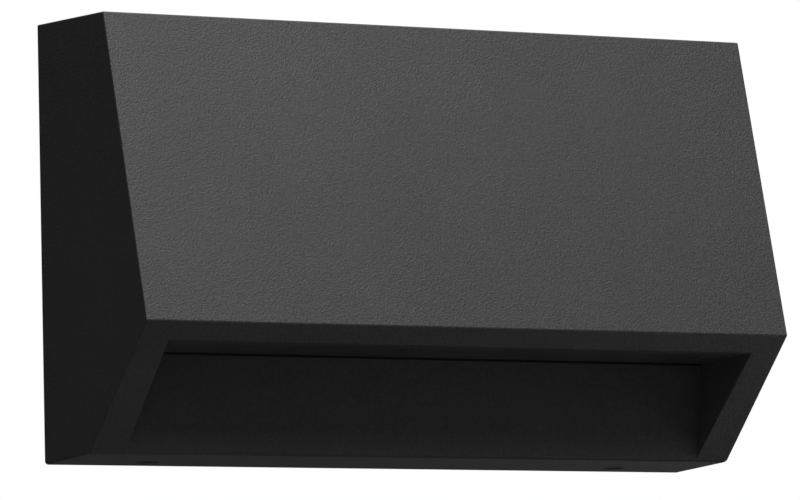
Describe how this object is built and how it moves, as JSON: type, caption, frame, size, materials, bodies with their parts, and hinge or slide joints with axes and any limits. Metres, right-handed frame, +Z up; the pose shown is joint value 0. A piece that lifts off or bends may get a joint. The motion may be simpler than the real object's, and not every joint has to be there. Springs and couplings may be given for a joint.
{
  "type": "outdoor wall light",
  "caption": "Wedge-shaped outdoor wall light that shines down from a recess below its front face, on a fixed wall plate.",
  "frame": {"origin": "middle of the wall face, halfway between the two wall screws", "axes": "+X along the width, to the right as seen from the front; +Y into the wall; +Z up"},
  "size_m": [0.15, 0.0475, 0.0904],
  "materials": {
    "powder_coat": "fine-textured matt powder coat, anthracite",
    "black_rubber": "matt",
    "black_foam": "closed-cell foam",
    "black_steel": "blackened",
    "smoked_window": "smoked, satin",
    "grey_silicone": "matt",
    "bare_aluminium": "as cast, machined faces",
    "zinc_steel": "bright zinc",
    "white_mask": "solder mask on an aluminium board",
    "phosphor": "phosphor under clear resin",
    "white_plastic": "moulded",
    "potting": "cast resin",
    "brass": "turned",
    "tinned_copper": "tinned",
    "brown_insulation": "extruded",
    "blue_insulation": "extruded",
    "green_insulation": "extruded, green and yellow",
    "red_insulation": "extruded",
    "black_insulation": "extruded"
  },
  "bodies": {
    "wall_plate": {"back_plate": "zinc_steel", "wall_gasket": "black_foam", "cable_grommet": "black_rubber"},
    "light_body": {"housing": "powder_coat", "rim_seal": "black_rubber", "light_window": "smoked_window", "window_gasket": "grey_silicone", "led_carrier": "bare_aluminium", "carrier_screws": "zinc_steel", "led_board": "white_mask", "led_chips": "phosphor", "board_screws": "zinc_steel", "wire_gland": "black_rubber", "driver_case": "white_plastic", "driver_potting": "potting", "driver_screws": "zinc_steel", "terminal_block": "white_plastic", "terminal_inserts": "brass", "clamp_screws": "zinc_steel", "terminal_screws": "zinc_steel", "earth_lug": "tinned_copper", "earth_washer": "zinc_steel", "earth_screw": "brass", "live_wire": "brown_insulation", "neutral_wire": "blue_insulation", "earth_wire": "green_insulation", "led_positive_wire": "red_insulation", "led_negative_wire": "black_insulation"},
    "grub_left": {"grub_screw_left": "black_steel"},
    "grub_right": {"grub_screw_right": "black_steel"}
  },
  "joints": [
    {"name": "body_lift_off", "type": "slide", "parent": "wall_plate", "child": "light_body", "axis": [0, -1, 0], "range_m": [0, 0.06]},
    {"name": "grub_left_out", "type": "slide", "parent": "light_body", "child": "grub_left", "axis": [0, 0, -1], "range_m": [0, 0.008]},
    {"name": "grub_right_out", "type": "slide", "parent": "light_body", "child": "grub_right", "axis": [0, 0, -1], "range_m": [0, 0.008]}
  ]
}
